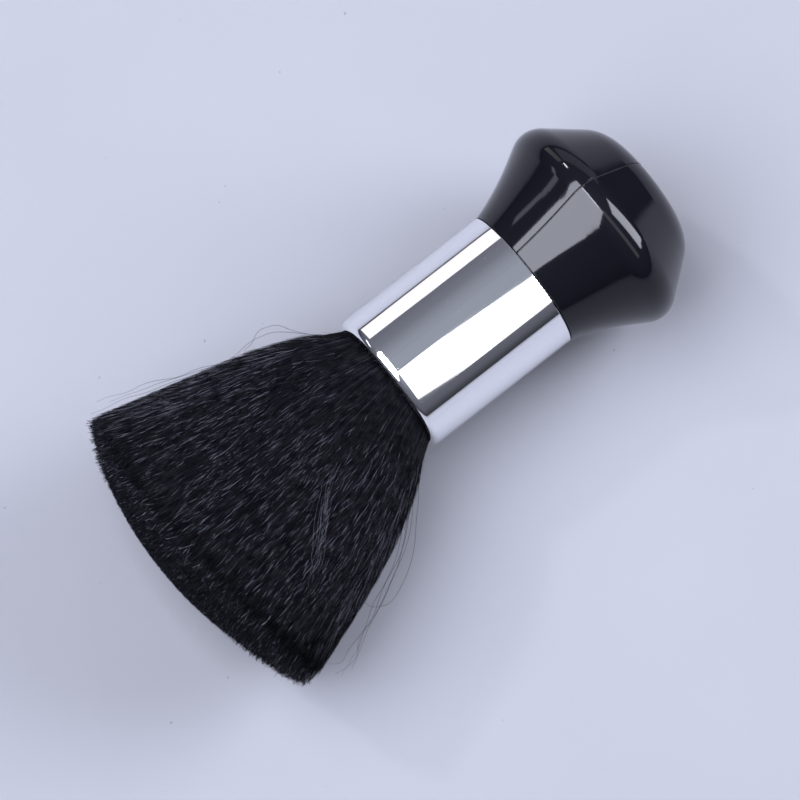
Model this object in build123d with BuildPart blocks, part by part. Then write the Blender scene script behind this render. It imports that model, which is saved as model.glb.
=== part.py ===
"""Barber's neck duster: hollow two-shell knob handle, drawn ferrule and a fanned bundle of hair.

The brush lies on its side. X runs along the brush, with the knob at +X and the hair at -X.
Z is up, and z = 0 is the surface that the knob's ridge and the underside of the hair rest on.
Lengths are in millimetres and angles in degrees.
"""

import os

from build123d import *

# Whole brush
overall_length = 150.7
axis_y = 3.93  # the hair leans to -Y, so the brush axis lies beside the middle of the whole

# Ferrule
ferrule_length = 42.2
ferrule_radius = 18.5
ferrule_wall = 0.6
shoulder_radius = 2.3
rim_rounding = 0.2

# Knob handle
knob_length = 39.1
knob_wall = 2.4
knob_neck_radius = 18.5
neck_gap = 0.25
flare_length = 14.5
flare_end_radius = 24.85
flare_sagitta = 0.45
flare_run_out = 8.5
ridge_rounding = 6.6
cap_edge_radius = 17.3
cap_edge_setback = 2.2
cap_edge_rounding = 11.0
dome_radius = 75.0
ribs = [(6.0, 16.0), (20.5, 22.5)]  # distance from the neck, inner radius
rib_thickness = 1.5

# Spigot that stands the handle in the ferrule
spigot_length = 18.5
spigot_clearance = 0.05
spigot_wall = 2.4
spigot_channel_setback = 5.0
glue_channel_length = 6.0
glue_channel_depth = 0.7

# Parting joint between the two shells
seam_angle = 6.4
seam_gap = 0.3
seam_setback = 0.35
posts = [(11.0, 9.0), (11.0, -9.0), (27.0, 0.0)]  # distance from the neck, offset from the axis
post_radius = 2.6
pin_radius = 1.2
pin_height = 3.0
socket_clearance = 0.05

# Cup, resin, thread and spreader at the root of the hair
cup_clearance = 0.1
cup_wall = 1.8
cup_floor = 2.0
cup_length = 21.2
cup_channel_setback = 6.0
resin_depth = 5.5
root_radius = 14.5
thread_radius = 0.45
thread_pitch = 0.85
thread_turns = 5
spreader_base_radius = 5.0
spreader_nose_radius = 3.0
spreader_length = 19.0

# Hair, at each distance from the lip: half width, half height and lean to -Y
hair_lip_clearance = 0.1
hair_sections = [
    (15.0, 25.7, 23.3, 1.7),
    (30.0, 31.5, 26.8, 3.1),
    (45.0, 36.5, 29.0, 4.0),
    (60.0, 41.0, 30.3, 4.5),
    (75.0, 44.5, 31.0, 4.8),
]
hair_cut_radius = 90.0

# Places along X
knob_end_x = overall_length / 2
rim_x = knob_end_x - knob_length
lip_x = rim_x - ferrule_length
hair_tip_x = -overall_length / 2
neck_x = rim_x + neck_gap
spigot_x = rim_x - spigot_length
spigot_channel_x = rim_x - spigot_channel_setback - glue_channel_length
cup_x = lip_x + shoulder_radius
cup_end_x = cup_x + cup_length
cup_channel_x = cup_x + cup_channel_setback
resin_end_x = cup_end_x - cup_floor
resin_x = resin_end_x - resin_depth
thread_end_x = resin_x - thread_turns * thread_pitch
spreader_nose_x = resin_x - spreader_length

# Radii that follow from the fits
ferrule_bore = ferrule_radius - ferrule_wall
lip_radius = ferrule_radius - shoulder_radius
lip_bore = lip_radius - ferrule_wall / 2
spigot_radius = ferrule_bore - spigot_clearance
spigot_bore = spigot_radius - spigot_wall
cup_radius = ferrule_bore - cup_clearance
cup_bore = cup_radius - cup_wall

os.makedirs("parts", exist_ok=True)


def band(start, end, inner, outer, mode=Mode.ADD):
    """Rectangle in a turned section: a stretch of X between two radii."""
    with Locations((start, inner)):
        Rectangle(end - start, outer - inner, align=(Align.MIN, Align.MIN), mode=mode)


def finish(piece, label):
    """Name the piece and write it to its own file."""
    piece.part.label = label
    export_step(piece.part, f"parts/{label}.step")


# Outline of the knob above its axis: flare, rounded ridge, cone, rounded edge and shallow dome
with BuildSketch() as knob_outline:
    with BuildLine():
        neck = Line((neck_x, 0), (neck_x, knob_neck_radius))
        flare_end = Vector(neck_x + flare_length, flare_end_radius)
        flare = SagittaArc(neck @ 1, flare_end, -flare_sagitta)
        ridge = flare_end + (flare % 1) * flare_run_out
        cap_edge = Vector(knob_end_x - cap_edge_setback, cap_edge_radius)
        Polyline(flare_end, ridge, cap_edge)
        RadiusArc(cap_edge, (knob_end_x, 0), dome_radius)
        Line((knob_end_x, 0), neck @ 0)
    make_face()
    fillet(knob_outline.vertices().sort_by_distance(cap_edge)[0], cap_edge_rounding)
    fillet(knob_outline.vertices().sort_by_distance(ridge)[0], ridge_rounding)

# The brush lies on the knob's ridge, so the ridge's radius is the height of its axis
axis_z = knob_outline.sketch.bounding_box().max.Y
brush_axis = Axis((0, axis_y, axis_z), (1, 0, 0))
side_plane = Plane(origin=(0, axis_y, axis_z), x_dir=(1, 0, 0), z_dir=(0, -1, 0))
seam_plane = side_plane.rotated((-seam_angle, 0, 0))


def inset_outline(inset):
    """Upper half of the knob's outline, moved inwards all round by the inset."""
    with BuildSketch() as moved:
        add(knob_outline.sketch)
        mirror(about=Plane.XZ)
        offset(amount=-inset, mode=Mode.REPLACE)
        band(-overall_length, overall_length, 0, overall_length, mode=Mode.INTERSECT)
    return moved.sketch


def pin_circles(radius):
    """Circles at the posts, on a plane of the parting joint."""
    with Locations(*[(neck_x + place, across) for place, across in posts]):
        Circle(radius)


# The handle in section: the knob with its spigot and glue channel, and the hollow with its ribs
channel_bottom = spigot_radius - glue_channel_depth
channel_end_x = spigot_channel_x + glue_channel_length
with BuildSketch() as handle_section:
    add(knob_outline.sketch)
    band(spigot_x, neck_x, 0, spigot_radius)
    band(spigot_channel_x, channel_end_x, channel_bottom, ferrule_radius, mode=Mode.SUBTRACT)
with BuildSketch() as hollow_section:
    add(inset_outline(knob_wall))
    for place, inner in ribs:
        rib_x = neck_x + place
        band(rib_x, rib_x + rib_thickness, inner, overall_length, mode=Mode.SUBTRACT)
    band(spigot_x, neck_x + knob_wall, 0, spigot_bore)


def make_shell(side):
    """One moulded half of the handle with its posts: side is +1 on the plane's outward side."""
    joint_face = seam_plane.offset(side * seam_gap / 2)
    with BuildPart() as post_row:
        with BuildSketch(side_plane):
            add(inset_outline(knob_wall / 2))
        revolve(axis=brush_axis)
        with BuildSketch(joint_face):
            pin_circles(post_radius)
        extrude(amount=side * overall_length, mode=Mode.INTERSECT)
    with BuildPart() as shell:
        with BuildSketch(side_plane):
            add(handle_section.sketch)
        revolve(axis=brush_axis)
        split(bisect_by=joint_face, keep=Keep.TOP if side > 0 else Keep.BOTTOM)
        with BuildSketch(side_plane):
            add(hollow_section.sketch)
        revolve(axis=brush_axis, mode=Mode.SUBTRACT)
        add(post_row.part)
    return shell.part


# Left half of the handle, with the pins
with BuildPart() as handle_shell_left:
    add(make_shell(-1))
    with BuildSketch(seam_plane.offset(-seam_gap / 2)):
        pin_circles(pin_radius)
    extrude(amount=pin_height)
finish(handle_shell_left, "handle_shell_left")

# Right half of the handle, with the sockets
with BuildPart() as handle_shell_right:
    add(make_shell(1))
    with BuildSketch(seam_plane):
        pin_circles(pin_radius + socket_clearance)
    extrude(amount=pin_height + seam_gap, mode=Mode.SUBTRACT)
finish(handle_shell_right, "handle_shell_right")

# Cement in the parting joint, set back from the outer skin so that a fine groove shows
with BuildSketch() as cement_section:
    add(inset_outline(seam_setback))
    add(handle_section.sketch, mode=Mode.INTERSECT)
    band(spigot_x, neck_x + knob_wall, 0, channel_bottom)
    add(hollow_section.sketch, mode=Mode.SUBTRACT)
    mirror(about=Plane.XZ)
with BuildPart() as seam_cement:
    with BuildSketch(seam_plane):
        add(cement_section.sketch)
    extrude(amount=seam_gap / 2, both=True)
finish(seam_cement, "seam_cement")

# Ferrule: a drawn tube with a rounded shoulder and its lip rolled in round the hair
with BuildPart() as ferrule:
    with BuildSketch(side_plane) as ferrule_section:
        with BuildLine():
            outside = Line((rim_x, ferrule_radius), (cup_x, ferrule_radius))
            RadiusArc(outside @ 1, (lip_x, lip_radius), -shoulder_radius)
            lip_inside = (lip_x + ferrule_wall, lip_radius)
            ThreePointArc((lip_x, lip_radius), (lip_x + ferrule_wall / 2, lip_bore), lip_inside)
            RadiusArc(lip_inside, (cup_x, ferrule_bore), shoulder_radius - ferrule_wall)
            Polyline((cup_x, ferrule_bore), (rim_x, ferrule_bore), outside @ 0)
        make_face()
        fillet(ferrule_section.vertices().group_by(Axis.X)[-1], rim_rounding)
    revolve(axis=brush_axis)
finish(ferrule, "ferrule")

# Cup that the root of the hair is set in
with BuildPart() as bristle_cup:
    with BuildSketch(side_plane):
        band(cup_x, cup_end_x, 0, cup_radius)
        band(cup_x, resin_end_x, 0, cup_bore, mode=Mode.SUBTRACT)
        cup_channel_end_x = cup_channel_x + glue_channel_length
        cup_channel_bottom = cup_radius - glue_channel_depth
        band(cup_channel_x, cup_channel_end_x, cup_channel_bottom, cup_radius, mode=Mode.SUBTRACT)
    revolve(axis=brush_axis)
finish(bristle_cup, "bristle_cup")

# Glue between cup and ferrule, and between spigot and ferrule
with BuildPart() as cup_glue_ring:
    with BuildSketch(side_plane):
        band(cup_channel_x, cup_channel_end_x, cup_channel_bottom, ferrule_bore)
    revolve(axis=brush_axis)
finish(cup_glue_ring, "cup_glue_ring")

with BuildPart() as spigot_glue_ring:
    with BuildSketch(side_plane):
        band(spigot_channel_x, channel_end_x, channel_bottom, ferrule_bore)
    revolve(axis=brush_axis)
finish(spigot_glue_ring, "spigot_glue_ring")

# Resin that the roots are cast in
with BuildPart() as root_resin:
    with BuildSketch(side_plane):
        band(resin_x, resin_end_x, 0, cup_bore)
    revolve(axis=brush_axis)
finish(root_resin, "root_resin")

# Thread wound round the root before casting
with BuildPart() as binding_thread:
    with BuildSketch(side_plane):
        band(thread_end_x, resin_x, root_radius, root_radius + thread_radius)
        first_turn = (resin_x - thread_pitch / 2, root_radius + thread_radius)
        for turn in range(thread_turns):
            with Locations((first_turn[0] - turn * thread_pitch, first_turn[1])):
                Circle(thread_radius)
        band(thread_end_x, resin_x, root_radius, cup_bore, mode=Mode.INTERSECT)
    revolve(axis=brush_axis)
finish(binding_thread, "binding_thread")

# Tapered plug in the middle of the root, which makes the hair fan out
with BuildPart() as spreader_core:
    with BuildSketch(side_plane):
        with BuildLine():
            taper_end = (spreader_nose_x + spreader_nose_radius, spreader_nose_radius)
            nose = (spreader_nose_x, 0)
            Polyline(nose, (resin_x, 0), (resin_x, spreader_base_radius), taper_end)
            RadiusArc(taper_end, nose, -spreader_nose_radius)
        make_face()
    revolve(axis=brush_axis)
finish(spreader_core, "spreader_core")

# Hair: a fan from the lip to a domed cut, flat where it lies on the surface, and the tied root
hair_lip_radius = lip_bore - hair_lip_clearance
with BuildPart() as hair_bundle:
    with BuildSketch(Plane(origin=(lip_x, axis_y, axis_z), x_dir=(0, 1, 0), z_dir=(-1, 0, 0))):
        Circle(hair_lip_radius)
    for distance, half_width, half_height, lean in hair_sections:
        middle = (lip_x - distance, axis_y - lean, axis_z)
        with BuildSketch(Plane(origin=middle, x_dir=(0, 1, 0), z_dir=(-1, 0, 0))):
            Ellipse(half_width, half_height)
    loft()
    with Locations((hair_tip_x + hair_cut_radius, axis_y, axis_z)):
        Sphere(hair_cut_radius, mode=Mode.INTERSECT)
    split(bisect_by=Plane.XY, keep=Keep.TOP)
    with BuildSketch(side_plane):
        with BuildLine():
            Polyline(
                (lip_x, 0),
                (lip_x, hair_lip_radius),
                (thread_end_x, root_radius),
                (resin_x, root_radius),
                (resin_x, 0),
                (lip_x, 0),
            )
        make_face()
    revolve(axis=brush_axis)
    add(spreader_core.part, mode=Mode.SUBTRACT)
finish(hair_bundle, "hair_bundle")
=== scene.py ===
"""Neck duster on a pale surface under soft studio light.

Everything is in metres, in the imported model's frame: X runs along the brush with the knob at +X
and the hair at -X, Z is up and z = 0 is the surface that the brush lies on.
"""

import math

import bpy
import numpy as np
from mathutils import Matrix, Quaternion, Vector


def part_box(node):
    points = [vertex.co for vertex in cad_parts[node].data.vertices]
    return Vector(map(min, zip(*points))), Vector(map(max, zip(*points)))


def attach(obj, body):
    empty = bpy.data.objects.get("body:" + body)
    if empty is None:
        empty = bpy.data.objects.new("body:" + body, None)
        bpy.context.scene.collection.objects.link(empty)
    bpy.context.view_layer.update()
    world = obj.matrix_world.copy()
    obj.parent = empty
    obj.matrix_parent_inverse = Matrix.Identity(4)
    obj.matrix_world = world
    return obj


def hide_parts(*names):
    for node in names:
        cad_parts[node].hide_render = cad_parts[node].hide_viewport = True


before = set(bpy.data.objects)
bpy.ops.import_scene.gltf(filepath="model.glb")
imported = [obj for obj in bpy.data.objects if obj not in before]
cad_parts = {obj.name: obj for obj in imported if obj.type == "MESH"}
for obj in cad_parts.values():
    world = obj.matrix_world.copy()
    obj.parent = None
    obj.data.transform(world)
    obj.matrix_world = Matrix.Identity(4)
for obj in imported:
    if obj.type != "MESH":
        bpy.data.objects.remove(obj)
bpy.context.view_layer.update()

MM = 0.001
rng = np.random.default_rng(20)

# ---------------------------------------------------------------- sizes taken from the frame
ferrule_low, ferrule_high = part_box("ferrule")
hair_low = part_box("hair_bundle")[0]
AXIS_Y = (ferrule_low.y + ferrule_high.y) / 2
AXIS_Z = (ferrule_low.z + ferrule_high.z) / 2
LIP_X = ferrule_low.x
TIP_X = hair_low.x


# ---------------------------------------------------------------- materials
def new_material(name):
    """A material with its Principled shader, its node tree and a short way to link sockets."""
    material = bpy.data.materials.new(name)
    material.use_nodes = True
    nodes = material.node_tree.nodes
    shader = nodes["Principled BSDF"]
    return material, nodes, material.node_tree.links, shader


def set_values(shader, **values):
    """Set shader sockets by name, with underscores for spaces."""
    for key, value in values.items():
        shader.inputs[key.replace("_", " ")].default_value = value


def object_coords(nodes, links, scale):
    """Object coordinates, stretched by a scale for each axis."""
    coords = nodes.new("ShaderNodeTexCoord")
    mapping = nodes.new("ShaderNodeMapping")
    mapping.inputs["Scale"].default_value = scale
    links.new(coords.outputs["Object"], mapping.inputs["Vector"])
    return mapping.outputs["Vector"]


def noise(nodes, links, vector, scale, detail=3.0, roughness=0.5):
    """Noise texture over a vector."""
    texture = nodes.new("ShaderNodeTexNoise")
    texture.inputs["Scale"].default_value = scale
    texture.inputs["Detail"].default_value = detail
    texture.inputs["Roughness"].default_value = roughness
    links.new(vector, texture.inputs["Vector"])
    return texture.outputs["Fac"]


def ramp(nodes, links, source, stops):
    """Colour ramp with stops of (place, grey or colour)."""
    node = nodes.new("ShaderNodeValToRGB")
    elements = node.color_ramp.elements
    while len(elements) < len(stops):
        elements.new(0.5)
    for element, (place, value) in zip(elements, stops):
        element.position = place
        element.color = (*value, 1.0) if isinstance(value, tuple) else (value, value, value, 1.0)
    links.new(source, node.inputs["Fac"])
    return node.outputs["Color"]


def add_bump(nodes, links, shader, height, strength, distance):
    """Bump from a height, over any bump that the shader already has."""
    bump = nodes.new("ShaderNodeBump")
    bump.inputs["Strength"].default_value = strength
    bump.inputs["Distance"].default_value = distance
    links.new(height, bump.inputs["Height"])
    before = shader.inputs["Normal"].links
    if before:
        links.new(before[0].from_socket, bump.inputs["Normal"])
    links.new(bump.outputs["Normal"], shader.inputs["Normal"])


def gloss_black(name, shift):
    """Moulded black plastic: a high gloss skin with a faint mould wave and a few fine scuffs."""
    material, nodes, links, shader = new_material(name)
    set_values(shader, Base_Color=(0.0022, 0.0023, 0.0036, 1.0), IOR=1.45, Specular_IOR_Level=0.38)
    vector = object_coords(nodes, links, (1.0, 1.0, 1.0))
    moved = nodes.new("ShaderNodeVectorMath")
    moved.operation = "ADD"
    moved.inputs[1].default_value = (shift, shift, 0.0)
    links.new(vector, moved.inputs[0])
    wave = noise(nodes, links, moved.outputs["Vector"], 38.0, 1.0)
    scuff = noise(nodes, links, object_coords(nodes, links, (1.0, 6.0, 6.0)), 900.0, 4.0, 0.7)
    shine = ramp(nodes, links, scuff, [(0.0, 0.06), (0.62, 0.075), (0.8, 0.15)])
    links.new(shine, shader.inputs["Roughness"])
    edge = nodes.new("ShaderNodeBevel")
    edge.samples = 4
    edge.inputs["Radius"].default_value = 0.0003
    links.new(edge.outputs["Normal"], shader.inputs["Normal"])
    add_bump(nodes, links, shader, wave, 0.22, 0.0006)
    return material


def polished_aluminium():
    """Drawn and polished tube: mirror bright, faint lines along the draw and small dust dents."""
    material, nodes, links, shader = new_material("polished_aluminium")
    set_values(shader, Base_Color=(0.955, 0.960, 0.980, 1.0), Metallic=1.0)
    drawn = noise(nodes, links, object_coords(nodes, links, (6.0, 260.0, 260.0)), 12.0, 3.0)
    shine = ramp(nodes, links, drawn, [(0.3, 0.025), (0.7, 0.06)])
    links.new(shine, shader.inputs["Roughness"])
    specks = noise(nodes, links, object_coords(nodes, links, (1.0, 1.0, 1.0)), 2600.0, 1.0)
    dents = ramp(nodes, links, specks, [(0.79, 0.0), (0.84, 1.0)])
    add_bump(nodes, links, shader, dents, 0.07, 0.0001)
    add_bump(nodes, links, shader, drawn, 0.02, 0.0001)
    return material


def cast_plain(name, dark, light, roughness, scale):
    """Plain inner material: a mottled colour between two tones with a soft grain."""
    material, nodes, links, shader = new_material(name)
    vector = object_coords(nodes, links, (1.0, 1.0, 1.0))
    mottle = noise(nodes, links, vector, scale, 4.0)
    links.new(ramp(nodes, links, mottle, [(0.3, dark), (0.7, light)]), shader.inputs["Base Color"])
    set_values(shader, Roughness=roughness)
    add_bump(nodes, links, shader, mottle, 0.2, 0.0002)
    return material


def hair_material(name, colour, roughness, shine):
    """Dark hair: a near black fibre whose shine comes and goes along it."""
    material, nodes, links, shader = new_material(name)
    set_values(shader, Base_Color=(*colour, 1.0), Roughness=roughness, IOR=1.5)
    broken = noise(nodes, links, object_coords(nodes, links, (0.5, 1.0, 1.0)), 700.0, 2.0)
    links.new(ramp(nodes, links, broken, [(0.35, 0.4 * shine), (0.68, 1.8 * shine)]),
              shader.inputs["Specular IOR Level"])
    return material


def assign(node_name, material):
    """Put one material on a CAD node."""
    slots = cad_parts[node_name].data.materials
    slots.clear()
    slots.append(material)


assign("handle_shell_left", gloss_black("gloss_black_left", 0.0))
assign("handle_shell_right", gloss_black("gloss_black_right", 0.013))
assign("ferrule", polished_aluminium())
assign("seam_cement", cast_plain("seam_cement", (0.004, 0.004, 0.004), (0.012, 0.012, 0.012), 0.6, 900.0))
cup = cast_plain("cup_plastic", (0.55, 0.53, 0.49), (0.70, 0.68, 0.64), 0.45, 300.0)
assign("bristle_cup", cup)
assign("spreader_core", cup)
glue = cast_plain("amber_glue", (0.42, 0.27, 0.10), (0.60, 0.42, 0.18), 0.3, 500.0)
assign("cup_glue_ring", glue)
assign("spigot_glue_ring", glue)
assign("root_resin", cast_plain("cast_resin", (0.30, 0.18, 0.06), (0.48, 0.32, 0.13), 0.25, 400.0))
assign("binding_thread", cast_plain("waxed_thread", (0.45, 0.41, 0.33), (0.68, 0.63, 0.54), 0.7, 2500.0))


# ---------------------------------------------------------------- hair
# The fan, at each distance from the lip: half width, half height and lean to -Y, in millimetres
FAN = np.array(
    [
        (0.0, 15.8, 15.8, 0.0),
        (15.0, 25.7, 23.3, 1.7),
        (30.0, 31.5, 26.8, 3.1),
        (45.0, 36.5, 29.0, 4.0),
        (60.0, 41.0, 30.3, 4.5),
        (75.0, 44.5, 31.0, 4.8),
    ]
)
FAN_FITS = [np.polyfit(FAN[:, 0], FAN[:, column], 4) for column in (1, 2, 3)]
CUT_R = 90.0 * MM
FLOOR_GAP = 0.25 * MM
TUBE_SIDES = 3


def fan_point(distance, radius, angle):
    """Point of the fan: distance from the lip, radius as a share of the fan's, angle round it."""
    steps = np.clip(distance, 0.0, None) / MM
    half_width, half_height, lean = (np.polyval(fit, steps) * MM for fit in FAN_FITS)
    y = AXIS_Y - lean + radius * half_width * np.cos(angle)
    z = AXIS_Z + radius * half_height * np.sin(angle)
    return np.stack([LIP_X - distance, y, z], -1)


def cut_distance(radius, angle):
    """Distance from the lip at which a strand meets the domed cut."""
    distance = np.full(np.shape(radius), LIP_X - TIP_X)
    for _ in range(6):
        point = fan_point(distance, radius, angle)
        across = (point[..., 1] - AXIS_Y) ** 2 + (point[..., 2] - AXIS_Z) ** 2
        distance = LIP_X - (TIP_X + CUT_R - np.sqrt(CUT_R**2 - across))
    return distance


def rest_on_floor(points, lift):
    """Press points down only as far as the surface, each strand at its own small height."""
    low = FLOOR_GAP + lift
    soft = 1.2 * MM
    over = points[..., 2] - low
    eased = soft * np.log1p(np.exp(np.minimum(over, 4 * soft) / soft))
    points[..., 2] = low + np.where(over > 4 * soft, over, eased)
    return points


def tubes(points, radii):
    """Vertices and faces of closed tubes: points (strand, step, 3) and radii (strand, step)."""
    count, steps = radii.shape
    along = np.gradient(points, axis=1)
    along /= np.linalg.norm(along, axis=-1, keepdims=True) + 1e-12
    helper = rng.normal(size=(count, 1, 3))
    first = np.cross(along, helper)
    first /= np.linalg.norm(first, axis=-1, keepdims=True) + 1e-12
    second = np.cross(along, first)
    rings = []
    for side in range(TUBE_SIDES):
        turn = 2 * math.pi * side / TUBE_SIDES
        rings.append(points + radii[..., None] * (math.cos(turn) * first + math.sin(turn) * second))
    verts = np.stack(rings, 2).reshape(-1, 3)
    base = (np.arange(count) * steps * TUBE_SIDES)[:, None, None]
    step = (np.arange(steps - 1) * TUBE_SIDES)[None, :, None]
    side = np.arange(TUBE_SIDES)[None, None, :]
    after = (side + 1) % TUBE_SIDES
    near = base + step
    far = near + TUBE_SIDES
    quads = np.stack([near + side, near + after, far + after, far + side], -1).reshape(-1, 4)
    root = (base[:, 0] + np.arange(TUBE_SIDES)[None, ::-1]).reshape(-1, TUBE_SIDES)
    tip = (base[:, 0] + (steps - 1) * TUBE_SIDES + np.arange(TUBE_SIDES)[None, :]).reshape(-1, TUBE_SIDES)
    return verts, quads, np.concatenate([root, tip])


def hair_piece(mesh):
    """A smooth object from a mesh of hair, named as the mesh is, on the brush's own body."""
    mesh.polygons.foreach_set("use_smooth", np.ones(len(mesh.polygons), bool))
    piece = bpy.data.objects.new(mesh.name, mesh)
    bpy.context.scene.collection.objects.link(piece)
    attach(piece, "root")
    return piece


def strand_mesh(name, batches, materials):
    """One object from batches of (points, radii, tone of each strand)."""
    all_verts, loops, sizes, tones = [], [], [], []
    offset = 0
    for points, radii, tone in batches:
        verts, quads, caps = tubes(points, radii)
        steps = radii.shape[1]
        all_verts.append(verts)
        loops.append((quads + offset).ravel())
        sizes.append(np.full(len(quads), 4))
        tones.append(np.repeat(tone, (steps - 1) * TUBE_SIDES))
        loops.append((caps + offset).ravel())
        sizes.append(np.full(len(caps), TUBE_SIDES))
        tones.append(np.tile(tone, 2))
        offset += len(verts)
    verts = np.concatenate(all_verts)
    loops = np.concatenate(loops)
    sizes = np.concatenate(sizes)
    mesh = bpy.data.meshes.new(name)
    mesh.vertices.add(len(verts))
    mesh.vertices.foreach_set("co", verts.astype(np.float32).ravel())
    mesh.loops.add(len(loops))
    mesh.loops.foreach_set("vertex_index", loops.astype(np.int32))
    mesh.polygons.add(len(sizes))
    mesh.polygons.foreach_set("loop_start", np.concatenate([[0], np.cumsum(sizes)[:-1]]).astype(np.int32))
    for material in materials:
        mesh.materials.append(material)
    mesh.polygons.foreach_set("material_index", np.concatenate(tones).astype(np.int32))
    mesh.update(calc_edges=True)
    return hair_piece(mesh)


HAIR_TONES = [
    hair_material("hair_black", (0.0011, 0.0011, 0.0019), 0.48, 0.06),
    hair_material("hair_soft_black", (0.0020, 0.0020, 0.0033), 0.55, 0.08),
    hair_material("hair_blue_black", (0.0062, 0.0064, 0.0105), 0.45, 0.15),
    # painted highlight: the last tone is a light grey-blue hair colour that stands in for the glints on the
    # dark hair
    hair_material("hair_painted_sheen", (0.064, 0.066, 0.082), 0.38, 0.42),
]
SOFT_BLACK, BLUE_BLACK, PAINTED_SHEEN = 1, 2, 3

# How often each tone is used, in the order above. The last share is the painted sheen, strands lightened to
# stand in for glints, used most in the wisps, at the rim of the cut and on the fuzzy edges
SIDE_SHARES = (0.62, 0.33, 0.05, 0.0)
TIP_SHARES = (0.55, 0.30, 0.13, 0.02)
RIM_SHARES = (0.36, 0.34, 0.22, 0.08)
WISP_SHARES = (0.40, 0.33, 0.14, 0.13)
EDGE_SHARES = (0.38, 0.32, 0.16, 0.14)

# Strands in each sector of the fan, and the points along each
SECTORS = 12
SIDE_STRANDS, SIDE_STEPS = 1500, 10
TIP_STRANDS, TIP_STEPS = 3000, 4
WISPS, WISP_STEPS = 3700, 3
STRAND_R = 0.075 * MM
ROOT = -1.6 * MM
CLUMPS_PER_RADIAN = 26.0
WISP_DEPTH = 0.997

# Stretches round the fan, in degrees from +Y: middle, and reach to each side of it
SHORT_SIDE = (12, 26)
SHORT_TIPS = (10, 28)
FRAYED_TIPS = (172, 16)
FUZZY_EDGES = ((14, 30), (176, 16))


def within(angle, stretch):
    """Which angles round the fan lie in one stretch of it."""
    middle, reach = stretch
    return np.cos(angle - math.radians(middle)) > math.cos(math.radians(reach))


def pick_tones(count, shares):
    """A tone for each strand."""
    return rng.choice(len(HAIR_TONES), count, p=shares)


def wander(count, steps, size, waves):
    """Smooth side to side drift for each strand, growing from its root."""
    along = np.linspace(0.0, 1.0, steps)[None, :]
    total = np.zeros((count, steps))
    for wave in waves:
        phase = rng.uniform(0, 2 * math.pi, (count, 1))
        amount = rng.normal(0.0, 1.0, (count, 1))
        total += amount * np.sin(2 * math.pi * wave * along + phase) / wave
    return total * size * along


def side_strands(first_angle, last_angle, count):
    """Full length strands in the outer layers of one sector of the fan."""
    angle = rng.uniform(first_angle, last_angle, count)
    depth = 1.0 - 0.10 * rng.beta(1.0, 1.6, count)
    clump_angle = (np.floor(angle * CLUMPS_PER_RADIAN) + 0.5) / CLUMPS_PER_RADIAN
    pull = rng.uniform(0.0, 0.35, count)
    cut = cut_distance(depth, angle)
    short = rng.exponential(0.8 * MM, count) + (rng.random(count) < 0.12) * rng.uniform(1.0, 9.0, count) * MM
    short = short + within(angle, SHORT_SIDE) * rng.uniform(0.3, 4.0, count) * MM
    along = np.linspace(0.0, 1.0, SIDE_STEPS)[None, :]
    distance = ROOT + (cut - short - ROOT)[:, None] * along
    swing = (clump_angle - angle)[:, None] * pull[:, None] * along**2
    swing = swing + wander(count, SIDE_STEPS, 0.020, (1.0, 2.3, 4.1))
    radius = depth[:, None] + wander(count, SIDE_STEPS, 0.008, (1.0, 2.7, 5.0))
    points = fan_point(distance, radius, angle[:, None] + swing)
    points = rest_on_floor(points, rng.uniform(0.0, 1.2 * MM, (count, 1)))
    radii = STRAND_R * rng.uniform(0.8, 1.25, (count, 1)) * np.interp(along, [0, 0.9, 1], [1, 1, 0.45])
    return points, radii, pick_tones(count, SIDE_SHARES)


def tip_strands(first_angle, last_angle, count):
    """The last stretch of the strands inside one sector, which make the domed cut."""
    angle = rng.uniform(first_angle, last_angle, count)
    depth = np.sqrt(rng.uniform(0.0, 1.0, count)) * 0.99
    cut = cut_distance(depth, angle)
    ragged = (depth > 0.80) * rng.uniform(0.2, 1.5, count) * MM
    frayed = np.where(within(angle, FRAYED_TIPS), 1.1 * MM, 0.0) * (depth > 0.8)
    short = rng.exponential(0.5 * MM, count) + (rng.random(count) < 0.12) * rng.uniform(0.5, 3.0, count) * MM
    short = short - ragged - frayed * rng.uniform(0.0, 1.6, count)
    corner = within(angle, SHORT_TIPS) & (depth > 0.72)
    short = short + corner * rng.uniform(0.6, 2.8, count) * MM
    length = rng.uniform(9.0, 13.0, count) * MM
    along = np.linspace(0.0, 1.0, TIP_STEPS)[None, :]
    distance = (cut - short - length)[:, None] + length[:, None] * along
    swing = wander(count, TIP_STEPS, 0.022, (1.0, 2.0))
    radius = depth[:, None] + wander(count, TIP_STEPS, 0.018, (1.0, 2.0))
    points = fan_point(distance, radius, angle[:, None] + swing)
    points = rest_on_floor(points, rng.uniform(0.0, 1.2 * MM, (count, 1)))
    radii = STRAND_R * rng.uniform(0.9, 1.5, (count, 1)) * np.interp(along, [0, 0.8, 1], [1, 1, 0.5])
    tone = pick_tones(count, TIP_SHARES)
    rim = (depth > 0.8) & (rng.random(count) < 0.6)
    tone[rim] = pick_tones(rim.sum(), RIM_SHARES)
    return points, radii, tone


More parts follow.
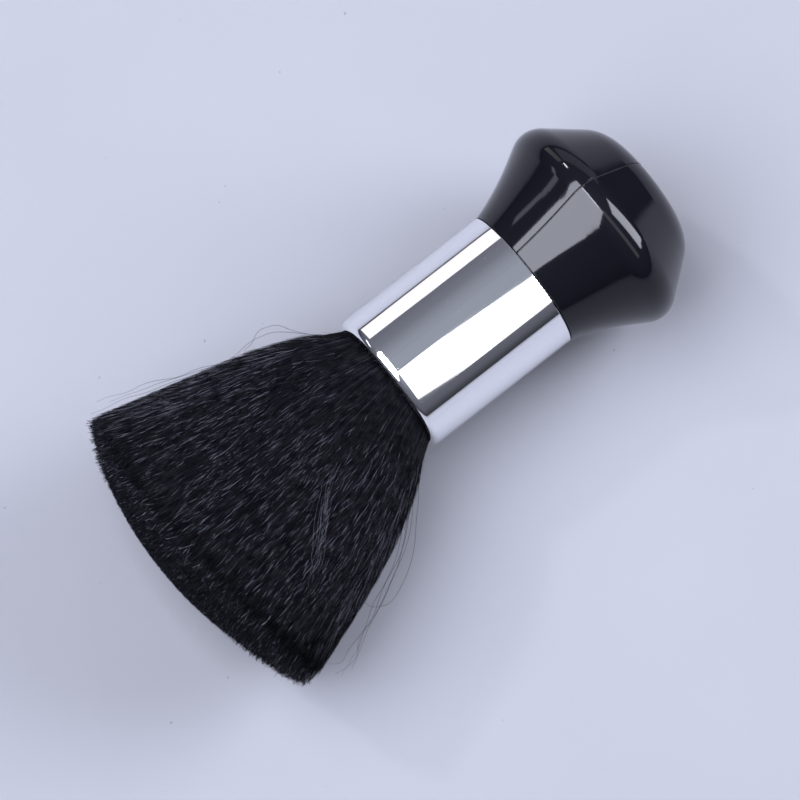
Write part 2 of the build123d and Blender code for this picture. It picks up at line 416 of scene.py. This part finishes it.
def wisps(first_angle, last_angle, count):
    """Short ends of hair that come out between the outer strands and cross them a little; those in the
    painted sheen tone give short painted glints.
    """
    angle = rng.uniform(first_angle, last_angle, count)
    reach = cut_distance(np.ones(count), angle)
    edge = within(angle, FUZZY_EDGES[0]) | within(angle, FUZZY_EDGES[1])
    share = rng.beta(2.0, 1.15, count)
    place = reach * (0.06 + 0.92 * share)
    length = np.where(edge, rng.uniform(3.0, 8.0, count), rng.uniform(1.2, 4.0, count)) * MM
    length = np.minimum(length, place)
    across = rng.normal(0.0, 0.17, count) * length
    along = np.linspace(0.0, 1.0, WISP_STEPS)[None, :]
    distance = (place - length)[:, None] + length[:, None] * along
    half = np.polyval(FAN_FITS[0], place / MM) * MM
    angles = angle[:, None] + (across / half)[:, None] * (along - 0.3)
    rise = np.where(edge, rng.uniform(-0.7, 1.2, count), rng.uniform(-0.15, 0.36, count)) * MM
    points = fan_point(distance, WISP_DEPTH + (rise / half)[:, None] * along, angles)
    points = rest_on_floor(points, rng.uniform(0.0, 0.8 * MM, (count, 1)))
    radii = STRAND_R * rng.uniform(0.32, 0.68, (count, 1)) * np.interp(along, [0, 0.5, 1], [0.6, 1, 0.4])
    tone = pick_tones(count, WISP_SHARES)
    tone[edge] = pick_tones(edge.sum(), EDGE_SHARES)
    # painted highlight: sheen strands thin out near the ferrule and at the cut, where the hair shows fewer
    # glints; the rest turn soft black
    painted_sheen_share = np.interp(share, [0, 0.4, 0.85, 1.0], [0.0, 1.0, 1.0, 0.5])
    tone[(tone == PAINTED_SHEEN) & (rng.random(count) > painted_sheen_share)] = SOFT_BLACK
    return points, radii, tone


def hair_core():
    """The dense inside of the bundle, just under the loose outer strands."""
    rings, around = 26, 96
    core_share, core_end = 0.93, 3.0 * MM
    angle = np.linspace(0, 2 * math.pi, around, endpoint=False)[None, :]
    share = np.full((1, around), core_share)
    reach = cut_distance(share, angle) - core_end
    start = -1.7 * MM
    along = np.linspace(0.0, 1.0, rings)[:, None]
    points = fan_point(start + (reach - start) * along, share, angle)
    cap = []
    for inner in (0.8, 0.55, 0.3):
        inner_share = np.full((1, around), core_share * inner)
        cap.append(fan_point(cut_distance(inner_share, angle) - core_end, inner_share, angle)[0])
    rows = rest_on_floor(np.concatenate([points, np.stack(cap)]), 0.8 * MM)
    count = len(rows)
    ends = np.array([rows[0].mean(0), rows[-1].mean(0)])
    verts = np.concatenate([rows.reshape(-1, 3), ends])
    faces = []
    for row in range(count - 1):
        for column in range(around):
            after = (column + 1) % around
            a, b = row * around + column, row * around + after
            faces.append((a, b, b + around, a + around))
    first, last = len(verts) - 2, len(verts) - 1
    for column in range(around):
        after = (column + 1) % around
        faces.append((after, column, first))
        faces.append(((count - 1) * around + column, (count - 1) * around + after, last))
    mesh = bpy.data.meshes.new("hair_core")
    mesh.from_pydata([tuple(v) for v in verts], [], faces)
    dark, light = (0.0008, 0.0008, 0.0012), (0.0028, 0.0028, 0.0042)
    mesh.materials.append(cast_plain("hair_core", dark, light, 0.6, 1200.0))
    mesh.update()
    return hair_piece(mesh)


core = hair_core()
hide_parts("hair_bundle")
for sector in range(SECTORS):
    low = 2 * math.pi * sector / SECTORS
    high = 2 * math.pi * (sector + 1) / SECTORS
    batches = [
        side_strands(low, high, SIDE_STRANDS),
        tip_strands(low, high, TIP_STRANDS),
        wisps(low, high, WISPS),
    ]
    strand_mesh(f"hair_lock_{sector + 1:02d}", batches, HAIR_TONES)


# Stray hairs, listed point by point: distance from the lip, sideways from the brush axis towards +Y, height
# of the point over the surface, all in millimetres
STRAYS = [
    [(1, 13, 32), (10, 20.5, 30), (28, 29.8, 27), (42, 36.2, 25), (55.7, 42.0, 22)],
    [(1, 12, 34), (12, 21.0, 31), (29.6, 29.9, 28), (42, 35.2, 26), (53.7, 39.6, 24)],
    [(1, 14, 30), (14, 22.5, 28), (33, 31.6, 24), (47, 37.4, 21), (58.5, 41.2, 19)],
    [(1, 14, 32), (8, 22.9, 30), (10.9, 27.9, 29), (14.5, 29.6, 28), (18.7, 28.9, 27), (22, 27.5, 26),
     (27, 25, 27)],
    [(1, 14, 34), (7, 20.5, 33), (12.5, 26.0, 32), (18, 28.4, 30), (24, 28.6, 28), (31, 27.5, 30)],
    [(1, -13, 22), (8.3, -23.1, 20), (12.9, -28.1, 20), (17.6, -33.2, 19), (24.4, -37.9, 17),
     (30.8, -40.0, 16), (33.9, -39.0, 17), (35.6, -36.4, 20), (34.0, -33.0, 26)],
    [(1, -13, 24), (16, -29.6, 20), (28, -36.6, 17), (38, -41.0, 13), (47, -45.6, 9)],
    [(1, -13, 20), (20, -31.6, 18), (32, -38.4, 14), (41, -41.4, 11), (44.5, -43.9, 9), (50, -45.0, 7)],
    [(1, -13, 26), (22, -32.4, 22), (37, -39.6, 17), (44, -44.0, 13), (51, -44.3, 9)],
    [(1, -12, 20), (18, -30.2, 20), (34, -39.2, 20), (44, -43.4, 19), (52, -44.2, 22)],
]
STRAY_STEPS = 28
STRAY_R = 0.050 * MM
TUFT = 12
TUFT_R = 0.020 * MM


def stray_points(controls):
    """Smooth line through the given control points."""
    controls = np.array(controls, float)
    ends = np.array([2 * controls[0] - controls[1], *controls, 2 * controls[-1] - controls[-2]])
    at = np.linspace(0, len(controls) - 1 - 1e-9, STRAY_STEPS)
    first = at.astype(int)
    t = (at - first)[:, None]
    p0, p1, p2, p3 = (ends[first + step] for step in range(4))
    line = 0.5 * (2 * p1 + (p2 - p0) * t + (2 * p0 - 5 * p1 + 4 * p2 - p3) * t**2
                  + (3 * p1 - p0 - 3 * p2 + p3) * t**3)
    line = line * MM
    return np.stack([LIP_X - line[:, 0], AXIS_Y + line[:, 1], line[:, 2]], -1)


def stray_hairs():
    """Loose single hairs at both edges, slightly kinked."""
    points = np.stack([stray_points(controls) for controls in STRAYS])
    kinks = wander(2 * len(STRAYS), STRAY_STEPS, 0.35 * MM, (3.0, 5.0, 8.0)) * 3.0
    points[..., 1:] += kinks.reshape(len(STRAYS), 2, STRAY_STEPS).transpose(0, 2, 1)
    taper = np.interp(np.linspace(0, 1, STRAY_STEPS), [0, 0.7, 1], [1, 1, 0.5])
    radii = STRAY_R * np.ones((len(STRAYS), 1)) * taper
    return points, radii, np.full(len(STRAYS), BLUE_BLACK)


def tuft_hairs():
    """A few hairs in the painted sheen tone, lighter to stand in for glints, that cross the outer strands on
    the upper side.
    """
    along = np.linspace(0.0, 1.0, STRAY_STEPS)[None, :]
    first = rng.uniform(21.0, 32.0, (TUFT, 1))
    last = rng.uniform(38.0, 47.0, (TUFT, 1))
    distance = first + (last - first) * along
    angle = np.radians(np.interp(distance, [20, 26, 31, 40, 47], [109, 112, 118, 131, 139]))
    angle = angle + rng.normal(0, 0.030, (TUFT, 1)) + wander(TUFT, STRAY_STEPS, 0.03, (1.0, 2.0))
    radius = 1.0 + rng.uniform(-0.004, 0.014, (TUFT, 1)) + wander(TUFT, STRAY_STEPS, 0.006, (2.0, 4.0))
    radii = TUFT_R * np.ones((TUFT, 1)) * np.interp(along, [0, 0.2, 0.8, 1], [0.5, 1, 1, 0.5])
    return fan_point(distance * MM, radius, angle), radii, np.full(TUFT, PAINTED_SHEEN)


strand_mesh("stray_hairs", [stray_hairs(), tuft_hairs()], HAIR_TONES)


# ---------------------------------------------------------------- stage, light and camera
def stage_floor():
    """Pale lavender grey surface with a few grains of dust."""
    reach = 1.6
    corners = [(-reach, -reach, 0), (reach, -reach, 0), (reach, reach, 0), (-reach, reach, 0)]
    mesh = bpy.data.meshes.new("floor")
    mesh.from_pydata(corners, [], [(0, 1, 2, 3)])
    floor = bpy.data.objects.new("floor", mesh)
    bpy.context.scene.collection.objects.link(floor)
    material, nodes, links, shader = new_material("floor_paper")
    vector = object_coords(nodes, links, (1.0, 1.0, 1.0))
    cloud = noise(nodes, links, vector, 9.0, 3.0)
    tone = ramp(nodes, links, cloud, [(0.35, (0.149, 0.151, 0.166)), (0.65, (0.156, 0.158, 0.174))])
    grains = noise(nodes, links, vector, 420.0, 1.0)
    dust = ramp(nodes, links, grains, [(0.790, (1.0, 1.0, 1.0)), (0.805, (0.60, 0.61, 0.64))])
    blend = nodes.new("ShaderNodeVectorMath")
    blend.operation = "MULTIPLY"
    links.new(tone, blend.inputs[0])
    links.new(dust, blend.inputs[1])
    links.new(blend.outputs["Vector"], shader.inputs["Base Color"])
    set_values(shader, Roughness=0.75)
    mesh.materials.append(material)


def panel(name, direction, distance, width, height, radiance, colour=(1.0, 1.0, 1.0), up=(0, 0, 1)):
    """Rectangular light facing the brush: sizes in metres, width across the up direction.

    Its radiance is counted in display white, so that 1.0 would show as pure white.
    """
    light = bpy.data.lights.new(name, "AREA")
    light.shape = "RECTANGLE"
    light.size = width
    light.size_y = height
    light.energy = radiance * math.pi * width * height
    light.color = colour
    lamp = bpy.data.objects.new(name, light)
    aim = Vector((0.02, 0.0, AXIS_Z))
    away = Vector(direction).normalized()
    level = Vector(up).cross(away).normalized()
    lamp.location = aim + away * distance
    lamp.rotation_euler = Matrix((level, away.cross(level), away)).transposed().to_euler()
    lamp.visible_camera = False
    bpy.context.scene.collection.objects.link(lamp)
    return lamp


def lights():
    """Two large softboxes, dim boards and a small lamp for the reflections, a fill and a key."""
    cool = (0.84, 0.87, 1.0)
    pink = (1.0, 0.96, 0.98)
    panel("softbox_over_hair", (-0.44, 0.19, 0.883), 0.95, 0.80, 0.98, 12.0, cool, up=(1, 0, 0))
    panel("softbox_edge", (0.00, 0.17, 0.99), 0.94, 0.42, 0.03, 26.0, cool, up=(1, 0, 0))
    panel("softbox_knob", (0.733, -0.387, 0.56), 1.0, 0.50, 0.82, 13.0, cool, up=(-0.106, 0.555, 0.615))
    panel("board_front", (0.135, -0.585, 0.80), 1.0, 0.20, 1.13, 1.3)
    panel("board_back", (0.135, 0.96, 0.26), 1.0, 0.20, 0.47, 1.0, pink)
    panel("strip_back", (-0.516, 0.774, 0.366), 1.0, 0.32, 0.09, 2.2, cool)
    panel("lamp_back", (0.26, 0.78, 0.61), 0.30, 0.014, 0.034, 40.0)
    panel("wall_far", (0.68, 0.66, 0.30), 1.1, 1.0, 0.5, 0.6, cool)
    fill = panel("fill_knob", (0.80, -0.25, 0.54), 2.4, 1.92, 1.20, 10.0, cool)
    fill.visible_glossy = False
    sun = bpy.data.lights.new("key", "SUN")
    sun.energy = 1.05
    sun.angle = math.radians(4.0)
    lamp = bpy.data.objects.new("key", sun)
    lamp.rotation_euler = Vector((-0.224, 0.61, 0.68)).to_track_quat("Z", "Y").to_euler()
    lamp.visible_glossy = False
    bpy.context.scene.collection.objects.link(lamp)


def sky():
    """Dim grey studio: darker near the horizon, lighter overhead."""
    world = bpy.data.worlds.new("studio")
    bpy.context.scene.world = world
    world.use_nodes = True
    nodes, links = world.node_tree.nodes, world.node_tree.links
    coords = nodes.new("ShaderNodeTexCoord")
    split = nodes.new("ShaderNodeSeparateXYZ")
    links.new(coords.outputs["Generated"], split.inputs["Vector"])
    heights = [
        (0.0, (0.035, 0.036, 0.044)),
        (0.2, (0.10, 0.105, 0.13)),
        (0.75, (0.17, 0.18, 0.22)),
        (1.0, (0.30, 0.32, 0.38)),
    ]
    tone = ramp(nodes, links, split.outputs["Z"], heights)
    links.new(tone, nodes["Background"].inputs["Color"])


def camera():
    """Long lens looking almost straight down, turned so that the brush lies on a slant."""
    azimuth, elevation, roll = math.radians(-29.4), math.radians(75.85), math.radians(-9.16)
    distance = 1.5
    back = Vector((math.sin(azimuth) * math.cos(elevation), -math.cos(azimuth) * math.cos(elevation),
                   math.sin(elevation)))
    aim = Vector((-0.0052, -0.0009, AXIS_Z))
    data = bpy.data.cameras.new("camera")
    data.lens = 282.0
    data.sensor_width = 36.0
    data.clip_end = 20.0
    view = bpy.data.objects.new("camera", data)
    view.location = aim + back * distance
    view.rotation_euler = (back.to_track_quat("Z", "Y") @ Quaternion((0, 0, 1), roll)).to_euler()
    bpy.context.scene.collection.objects.link(view)
    bpy.context.scene.camera = view


stage_floor()
lights()
sky()
camera()
bpy.context.scene.view_settings.view_transform = "Standard"
